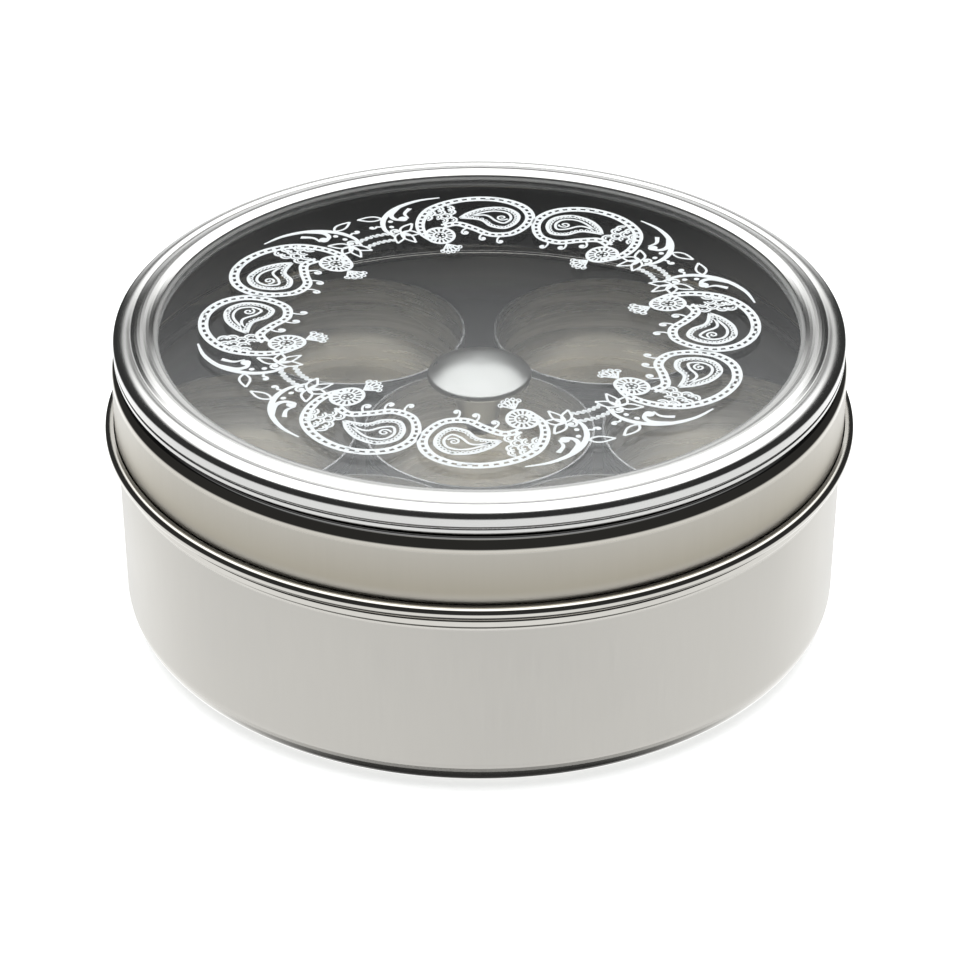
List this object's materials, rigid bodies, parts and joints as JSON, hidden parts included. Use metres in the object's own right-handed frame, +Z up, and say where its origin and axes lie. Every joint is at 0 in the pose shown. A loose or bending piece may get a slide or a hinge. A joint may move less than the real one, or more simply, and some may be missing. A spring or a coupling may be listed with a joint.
{
  "type": "spice box with cups",
  "caption": "Round steel spice box with a slip-on windowed lid, a clear inner lid with a knob, and loose open cups standing inside.",
  "frame": {"origin": "centre of the case underside, on the surface the box stands on", "axes": "+Z up along the axis of the case; +X and +Y lie in the plane it stands on, and the wider gap in the ring of cups is towards +Y"},
  "size_m": [0.2172, 0.2172, 0.0917],
  "materials": {
    "satin_steel": "satin, fine upright brushing",
    "cup_steel": "satin, fine rings from spinning",
    "polished_steel": "polished",
    "window_glass": "clear, with a printed white border on the top",
    "clear_seal": "clear, glossy",
    "clear_acrylic": "clear, polished"
  },
  "bodies": {
    "base": {"base_box": "satin_steel"},
    "lid": {"lid_skirt": "satin_steel", "glass_seat_ring": "polished_steel", "lid_bezel": "polished_steel", "glass_disc": "window_glass", "glass_gasket": "clear_seal"},
    "inner_lid": {"inner_lid_disc": "clear_acrylic", "knob_cap": "polished_steel", "knob_neck": "polished_steel", "knob_washer": "clear_seal", "knob_screw": "polished_steel"},
    "cup_centre": {"spice_cup_centre": "cup_steel"},
    "cup_1": {"spice_cup_1": "cup_steel"},
    "cup_2": {"spice_cup_2": "cup_steel"},
    "cup_3": {"spice_cup_3": "cup_steel"},
    "cup_4": {"spice_cup_4": "cup_steel"},
    "cup_5": {"spice_cup_5": "cup_steel"},
    "cup_6": {"spice_cup_6": "cup_steel"}
  },
  "joints": [
    {"name": "lid_lift", "type": "slide", "parent": "base", "child": "lid", "axis": [0, 0, 1], "range_m": [0, 0.2]},
    {"name": "inner_lid_lift", "type": "slide", "parent": "base", "child": "inner_lid", "axis": [0, 0, 1], "range_m": [0, 0.13]},
    {"name": "cup_centre_lift", "type": "slide", "parent": "base", "child": "cup_centre", "axis": [0, 0, 1], "range_m": [0, 0.068]},
    {"name": "cup_1_lift", "type": "slide", "parent": "base", "child": "cup_1", "axis": [0, 0, 1], "range_m": [0, 0.068]},
    {"name": "cup_2_lift", "type": "slide", "parent": "base", "child": "cup_2", "axis": [0, 0, 1], "range_m": [0, 0.068]},
    {"name": "cup_3_lift", "type": "slide", "parent": "base", "child": "cup_3", "axis": [0, 0, 1], "range_m": [0, 0.068]},
    {"name": "cup_4_lift", "type": "slide", "parent": "base", "child": "cup_4", "axis": [0, 0, 1], "range_m": [0, 0.068]},
    {"name": "cup_5_lift", "type": "slide", "parent": "base", "child": "cup_5", "axis": [0, 0, 1], "range_m": [0, 0.068]},
    {"name": "cup_6_lift", "type": "slide", "parent": "base", "child": "cup_6", "axis": [0, 0, 1], "range_m": [0, 0.068]}
  ],
  "couplings": [
    {"joint": "inner_lid_lift", "follows": "lid_lift", "ratio": 0.65},
    {"joint": "cup_centre_lift", "follows": "lid_lift", "ratio": 0.34},
    {"joint": "cup_1_lift", "follows": "lid_lift", "ratio": 0.34},
    {"joint": "cup_2_lift", "follows": "lid_lift", "ratio": 0.34},
    {"joint": "cup_3_lift", "follows": "lid_lift", "ratio": 0.34},
    {"joint": "cup_4_lift", "follows": "lid_lift", "ratio": 0.34},
    {"joint": "cup_5_lift", "follows": "lid_lift", "ratio": 0.34},
    {"joint": "cup_6_lift", "follows": "lid_lift", "ratio": 0.34}
  ]
}
